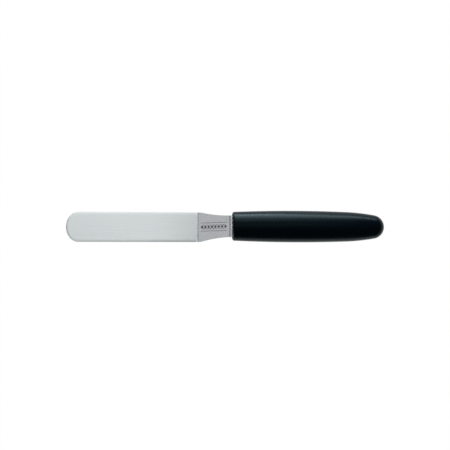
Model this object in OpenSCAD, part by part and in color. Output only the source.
// Small offset spatula, as a baker uses for icing: one bent steel sheet and a moulded handle.
//
// The tool is drawn in its own frame, with the blade's underside at z = 0 and the heel bend
// starting at x = 0: the blade runs to -X and the handle to +X. laid_down() then sets it on the
// table the way it comes to rest, on its heel and on the underside of the handle's butt.

/* [Blade] */
// Flat length of the blade, from its tip to the heel bend
blade_l = 86.8; // [60:0.1:110]
// Width of the blade where the tip's curve ends
blade_w = 20.1; // [19:0.1:22]
// Width of the blade at its heel corners
heel_w = 19.8; // [18.5:0.1:22]
// How far back the tip's curve reaches before the edges run straight
tip_l = 8.2; // [4:0.1:12]
// Thickness of the steel sheet
sheet_t = 0.9; // [0.7:0.05:1.2]

/* [Neck] */
// Height that the neck lifts the tang above the blade
offset_h = 16.8; // [14:0.1:20]
// Slope of the neck against the blade, in degrees
neck_angle = 40; // [36:1:48]
// Inner radius of both bends
bend_r = 1.1; // [0.8:0.1:1.8]
// Width of the neck where it reaches the handle
neck_w = 14.1; // [12:0.1:15]
// Bare steel between the upper bend and the handle
neck_gap = 0.7; // [0.4:0.1:2]
// Angle at which the neck narrows from the blade's heel corners, in degrees
taper_angle = 14; // [12:0.5:16]
// Radius of the curve that ends the narrowing
taper_r = 67; // [50:1:75]

/* [Tang] */
// Width of the tang inside the handle
tang_w = 10; // [8:0.5:11]
// Length of the tang inside the handle
tang_l = 76; // [60:1:80]
// Diameter of the holes that the plastic flows through
tang_hole_d = 4; // [3:0.5:5]
// Number of holes along the tang
tang_holes = 3; // [2:1:4]

/* [Handle] */
// Length of the handle
handle_l = 101.2; // [98:0.1:106]
// Greatest width of the handle
handle_w = 20.8; // [20.4:0.1:22]
// Greatest thickness of the handle
handle_t = 15.4; // [15:0.1:17]
// Distance from the front face to the widest place
belly_x = 42.5; // [38:0.5:46]
// Radius of the long curve along the handle's sides
belly_r = 930; // [800:10:1100]
// Radius of the round butt, seen from above
butt_r = 7.9; // [7.4:0.1:8.4]
// Angle at which the butt's curve passes into the shoulder, in degrees
shoulder_angle = 10; // [8:1:14]
// Rounding of the front face's rim
rim_r = 1.2; // [0.8:0.1:1.6]

/* [Handle core] */
// Distance from the handle's front face to the core
core_x = 4; // [3.5:0.5:6]
// Length of the core
core_l = 82; // [80:1:84]
// Width of the core between its ribs
core_w = 12.6; // [12:0.1:13]
// Thickness of the core between its ribs
core_t = 8.6; // [8:0.1:9]
// How far the ribs stand out from the core
rib_h = 1.5; // [1:0.1:1.6]
// Length of one rib along the handle
rib_l = 3; // [2:0.5:4]
// Number of ribs
ribs = 6; // [4:1:7]

/* [Hidden] */
$fn = 72;

steel = [0.80, 0.82, 0.83];
core_grey = [0.45, 0.46, 0.48];
shell_black = [0.03, 0.04, 0.05];

cut = 0.5;           // how far a cutter runs past the face that it opens
bend_steps = 10;     // flats round each bend
tip_steps = 24;      // flats from the middle of the tip to its side
taper_steps = 10;    // flats along the curve that ends the narrowing
tang_end_steps = 8;  // flats round each corner of the tang's end
tang_corner_r = 3;   // radius of those corners
tang_step = 2;       // how deep in the handle the neck steps down to the tang
rim_steps = 6;       // flats round the handle's front rim
belly_steps = 8;     // flats along the handle's belly arc
shoulder_steps = 8;  // flats along its shoulder arc
butt_steps = 12;     // flats round its butt

// The sheet's centre line, in x and z: the two bends and the straight neck between them.
mid_r = bend_r + sheet_t / 2;
outer_r = bend_r + sheet_t;
bend_rise = 2 * mid_r * (1 - cos(neck_angle));
neck_l = (offset_h - bend_rise) / sin(neck_angle);
upper_x = 2 * mid_r * sin(neck_angle) + neck_l * cos(neck_angle);
lower_c = [0, outer_r];
upper_c = [upper_x, offset_h - bend_r];

front_x = upper_x + neck_gap;     // the handle's front face
axis_z = offset_h + sheet_t / 2;  // the handle's centre line, in the middle of the tang
tang_end_x = front_x + tang_l;

// The sheet's outline from above: where the curve that ends the narrowing lies.
taper_c = [front_x, neck_w / 2 + taper_r];
taper_start = taper_c - taper_r * [sin(taper_angle), cos(taper_angle)];
heel_x = taper_start.x - (heel_w / 2 - taper_start.y) / tan(taper_angle);

// The handle's half width from above: a belly arc, a shoulder arc and the butt's arc, each one
// tangent to the next. A point here is [distance from the front face, distance from the middle].
flat = handle_t / handle_w;       // the handle is an oval: its thickness over its width
belly_c = [belly_x, handle_w / 2 - belly_r];
rim_c = [rim_r, belly_c.y + sqrt(pow(belly_r - rim_r, 2) - pow(belly_x - rim_r, 2))];
rim_angle = acos((rim_r - belly_x) / (belly_r - rim_r));
butt_c = [handle_l - butt_r, 0];
shoulder_dir = [sin(shoulder_angle), cos(shoulder_angle)];
shoulder_end = butt_c + butt_r * shoulder_dir;
reach = shoulder_end - belly_c;
shoulder_r = (belly_r * belly_r - reach * reach) / (2 * (belly_r - reach * shoulder_dir));
shoulder_c = shoulder_end - shoulder_r * shoulder_dir;
shoulder_start_angle = acos((shoulder_c.x - belly_x) / (belly_r - shoulder_r));

// How the tool rests: on the outer curve of the heel bend and on the underside of the handle's
// shoulder. butt_gap() is that shoulder's height above the table when the tool leans by angle a.
function butt_gap(a) =
    (axis_z - flat * shoulder_c.y) * cos(a) - (front_x + shoulder_c.x) * sin(a)
    - shoulder_r * sqrt(pow(sin(a), 2) + pow(flat * cos(a), 2))
    + outer_r * (1 - cos(a));
function lean(low, high, steps) =
    let (mid = (low + high) / 2)
    steps == 0 ? mid
    : butt_gap(mid) > 0 ? lean(mid, high, steps - 1)
    : lean(low, mid, steps - 1);
rest_angle = lean(0, 15, 30);

// The two ends of the leaning tool along x, which puts its middle at x = 0.
tip_end_x = -blade_l * cos(rest_angle);
butt_end_x = (front_x + butt_c.x) * cos(rest_angle) + axis_z * sin(rest_angle)
    + butt_r * sqrt(pow(cos(rest_angle), 2) + pow(flat * sin(rest_angle), 2));

module laid_down() {
    translate([-(tip_end_x + butt_end_x) / 2, 0, outer_r * (1 - cos(rest_angle))])
        rotate([0, rest_angle, 0]) children();
}

// ---- The steel sheet ----

function arc(c, r, from, to, steps) =
    [for (i = [0 : steps]) let (a = from + (to - from) * i / steps) c + r * [cos(a), sin(a)]];

function reversed(list) = [for (i = [len(list) - 1 : -1 : 0]) list[i]];

// The side view of one line in the sheet, which lies s above the sheet's centre line.
function side_line(s) = concat(
    [[-blade_l, sheet_t / 2 + s]],
    arc(lower_c, mid_r - s, -90, neck_angle - 90, bend_steps),
    arc(upper_c, mid_r + s, neck_angle + 90, 90, bend_steps),
    [[tang_end_x, axis_z + s]]
);

module side_view() {
    polygon(concat(side_line(sheet_t / 2), reversed(side_line(-sheet_t / 2))));
}

// The +Y half of the sheet's outline from above, from the tip to the end of the tang.
half_outline = concat(
    [for (i = [0 : tip_steps]) let (a = 90 * i / tip_steps)
        [-blade_l + tip_l * (1 - cos(a)), blade_w / 2 * sin(a)]],
    [[heel_x, heel_w / 2]],
    arc(taper_c, taper_r, -90 - taper_angle, -90, taper_steps),
    [[front_x + tang_step, neck_w / 2], [front_x + 2 * tang_step, tang_w / 2]],
    arc([tang_end_x - tang_corner_r, tang_w / 2 - tang_corner_r], tang_corner_r,
        90, 0, tang_end_steps)
);

module outline() {
    polygon(concat(half_outline, [for (p = reversed(half_outline)) if (p.y > 0) [p.x, -p.y]]));
}

module tang_hole_cutters() {
    pitch = tang_l / (tang_holes + 1);
    for (i = [1 : tang_holes])
        translate([front_x + pitch * i, 0, offset_h - cut])
            cylinder(d = tang_hole_d, h = sheet_t + 2 * cut);
}

module sheet() {
    difference() {
        intersection() {
            translate([0, blade_w, 0]) rotate([90, 0, 0]) linear_extrude(2 * blade_w) side_view();
            translate([0, 0, -cut]) linear_extrude(offset_h + sheet_t + 2 * cut) outline();
        }
        tang_hole_cutters();
    }
}

module blade() {
    color(steel) laid_down() sheet();
}

// ---- The handle ----

// Half of the handle's outline, with the distance from the front face drawn along +Y.
module half_width() {
    points = concat(
        [[0, 0]],
        arc(rim_c, rim_r, 180, rim_angle, rim_steps),
        arc(belly_c, belly_r, rim_angle, shoulder_start_angle, belly_steps),
        arc(shoulder_c, shoulder_r, shoulder_start_angle, 90 - shoulder_angle, shoulder_steps),
        arc(butt_c, butt_r, 90 - shoulder_angle, 0, butt_steps)
    );
    polygon([for (p = points) [p.y, p.x]]);
}

// A round body of the handle's width, made oval: each quarter turn is flattened by itself.
module handle_body() {
    for (i = [0 : 3])
        translate([front_x, 0, axis_z]) scale([1, 1, flat]) rotate([90, 0, 90])
            rotate(90 * i) rotate_extrude(angle = 90) half_width();
}

// A bar with round sides, along the handle from a distance behind the front face.
module round_bar(from, length, w, t) {
    translate([front_x + from, 0, axis_z]) rotate([90, 0, 90]) linear_extrude(length) {
        square([w - t, t], center = true);
        translate([(t - w) / 2, 0]) circle(d = t);
        translate([(w - t) / 2, 0]) circle(d = t);
    }
}

module core_body() {
    pitch = (core_l - rib_l) / (ribs - 1);
    round_bar(core_x, core_l, core_w, core_t);
    for (i = [0 : ribs - 1])
        round_bar(core_x + pitch * i, rib_l, core_w + 2 * rib_h, core_t + 2 * rib_h);
}

// The first moulding: a ribbed bar that fills the tang's holes and grips it.
module handle_core() {
    color(core_grey) laid_down() difference() {
        core_body();
        sheet();
    }
}

// The second moulding: it closes round the core and round the neck where the steel comes out.
module handle_shell() {
    color(shell_black) laid_down() difference() {
        handle_body();
        core_body();
        sheet();
    }
}

blade();
handle_core();
handle_shell();
